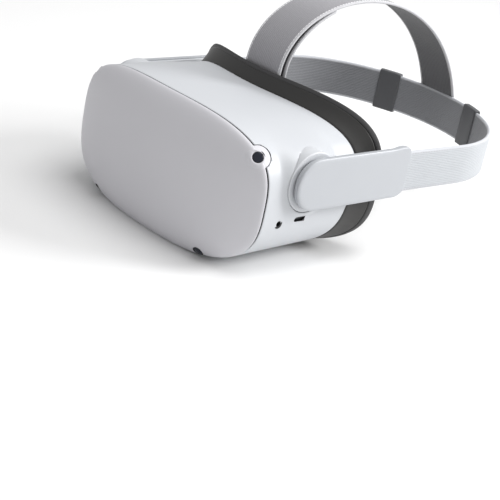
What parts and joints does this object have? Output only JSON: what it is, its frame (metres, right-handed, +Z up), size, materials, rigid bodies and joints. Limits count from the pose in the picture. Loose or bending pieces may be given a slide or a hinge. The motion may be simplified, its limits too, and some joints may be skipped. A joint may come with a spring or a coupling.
{
  "type": "virtual reality headset",
  "caption": "Standalone head-worn display with a domed front cover, tracking cameras, sliding lenses, swivelling side arms, elastic straps and a pull-off foam face piece.",
  "frame": {"origin": "bottom centre of the whole headset with its straps set out: X = 0 is the plane of symmetry, Z = 0 is the flat base of the visor, Y = 0 is within 2 mm of halfway between the front cover and the back of the strap", "axes": "+X to the wearer's left, +Y back towards the head, +Z up"},
  "size_m": [0.194, 0.284, 0.1516],
  "materials": {
    "cover_grey": "fine satin grain",
    "shell_white": "fine satin grain",
    "arm_white": "smooth satin",
    "arm_inner": "smooth satin",
    "bezel_black": "satin moulded",
    "frame_black": "matte moulded",
    "camera_black": "gloss",
    "camera_glass": "dark coated glass",
    "lens_clear": "clear ribbed lens",
    "display_glass": "dark glass",
    "foam_black": "soft open-cell foam",
    "flap_rubber": "matte rubber",
    "strap_white": "woven elastic, dark inside",
    "strap_grey": "ribbed elastic, dark inside",
    "fold_grey": "hook-and-loop",
    "slider_dark": "satin",
    "steel": "brushed",
    "frame_metal": "cast",
    "board_green": "solder mask",
    "battery_wrap": "film",
    "gear_nylon": "natural nylon",
    "speaker_black": "moulded",
    "light_white": "light pipe"
  },
  "bodies": {
    "visor": {"front_cover": "cover_grey", "main_shell": "shell_white", "back_bezel": "bezel_black", "strap_bar": "steel", "mid_frame": "frame_metal", "frame_screws": "steel", "mainboard": "board_green", "processor_shield": "steel", "heat_sink": "frame_metal", "fan_housing": "frame_black", "battery": "battery_wrap", "optics_bracket": "frame_black", "display_panel": "display_glass", "lens_rail_upper": "steel", "lens_rail_lower": "steel", "lens_surround": "frame_black", "proximity_window": "camera_glass", "camera_upper_left": "camera_black", "camera_upper_right": "camera_black", "camera_lower_left": "camera_black", "camera_lower_right": "camera_black", "camera_lens_upper_left": "camera_glass", "camera_lens_upper_right": "camera_glass", "camera_lens_lower_left": "camera_glass", "camera_lens_lower_right": "camera_glass", "pivot_hub_left": "shell_white", "pivot_hub_right": "shell_white", "pivot_pin_left": "steel", "pivot_pin_right": "steel", "pivot_washer_left": "steel", "pivot_washer_right": "steel", "status_light": "light_white", "usb_socket": "steel", "audio_socket": "frame_black"},
    "fan_rotor": {"fan_rotor": "frame_black"},
    "lens_left": {"lens_barrel_left": "frame_black", "lens_left": "lens_clear"},
    "lens_right": {"lens_barrel_right": "frame_black", "lens_right": "lens_clear"},
    "spacing_gear": {"spacing_gear": "gear_nylon"},
    "power_button": {"power_button": "shell_white"},
    "volume_rocker": {"volume_rocker": "shell_white"},
    "face_piece": {"face_frame": "frame_black", "foam_cushion": "foam_black", "nose_flap": "flap_rubber"},
    "arm_left": {"arm_cover_left": "arm_white", "arm_plate_left": "arm_inner", "speaker_left": "speaker_black", "strap_clip_left": "frame_black", "side_strap": "strap_white", "top_strap": "strap_grey", "top_strap_fold": "fold_grey", "strap_patch": "fold_grey"},
    "arm_right": {"arm_cover_right": "arm_white", "arm_plate_right": "arm_inner", "speaker_right": "speaker_black", "strap_clip_right": "frame_black"},
    "slider_left": {"strap_slider_left": "slider_dark"},
    "slider_right": {"strap_slider_right": "slider_dark"}
  },
  "joints": [
    {"name": "arm_left_swivel", "type": "hinge", "parent": "visor", "child": "arm_left", "pos_m": [0.0918, -0.082, 0.0613], "axis": [1, 0, 0], "range_deg": [-10, 22], "deforming": ["top_strap", "top_strap_fold"]},
    {"name": "arm_right_swivel", "type": "hinge", "parent": "visor", "child": "arm_right", "pos_m": [-0.0918, -0.082, 0.0613], "axis": [1, 0, 0], "range_deg": [-10, 22]},
    {"name": "slider_left_slide", "type": "hinge", "parent": "arm_left", "child": "slider_left", "pos_m": [0, 0.0323, 0.0613], "axis": [0, 0, 1], "range_deg": [-7, 7]},
    {"name": "slider_right_slide", "type": "hinge", "parent": "arm_left", "child": "slider_right", "pos_m": [0, 0.0323, 0.0613], "axis": [0, 0, 1], "range_deg": [-7, 7]},
    {"name": "lens_left_slide", "type": "slide", "parent": "visor", "child": "lens_left", "axis": [1, 0, 0], "range_m": [-0.0025, 0.0025]},
    {"name": "lens_right_slide", "type": "slide", "parent": "visor", "child": "lens_right", "axis": [1, 0, 0], "range_m": [-0.0025, 0.0025]},
    {"name": "spacing_gear_turn", "type": "hinge", "parent": "visor", "child": "spacing_gear", "pos_m": [0, -0.101, 0.0477], "axis": [0, 1, 0], "range_deg": [-30, 30]},
    {"name": "face_piece_pull", "type": "slide", "parent": "visor", "child": "face_piece", "axis": [0, 1, 0], "range_m": [0, 0.025]},
    {"name": "power_button_press", "type": "slide", "parent": "visor", "child": "power_button", "axis": [1, 0, 0], "range_m": [0, 0.0008], "stiffness_N_per_m": 1500},
    {"name": "volume_rocker_tilt", "type": "hinge", "parent": "visor", "child": "volume_rocker", "pos_m": [0.04, -0.098, 0.0032], "axis": [0, 1, 0], "range_deg": [-2.5, 2.5], "stiffness_Nm_per_rad": 0.3},
    {"name": "fan_spin", "type": "hinge", "parent": "visor", "child": "fan_rotor", "pos_m": [0.025, -0.129, 0.0467], "axis": [0, 1, 0], "continuous": true}
  ],
  "couplings": [
    {"joint": "arm_right_swivel", "follows": "arm_left_swivel", "ratio": 1},
    {"joint": "lens_right_slide", "follows": "lens_left_slide", "ratio": -1},
    {"joint": "spacing_gear_turn", "follows": "lens_left_slide", "rad_per_m": 208.33}
  ]
}
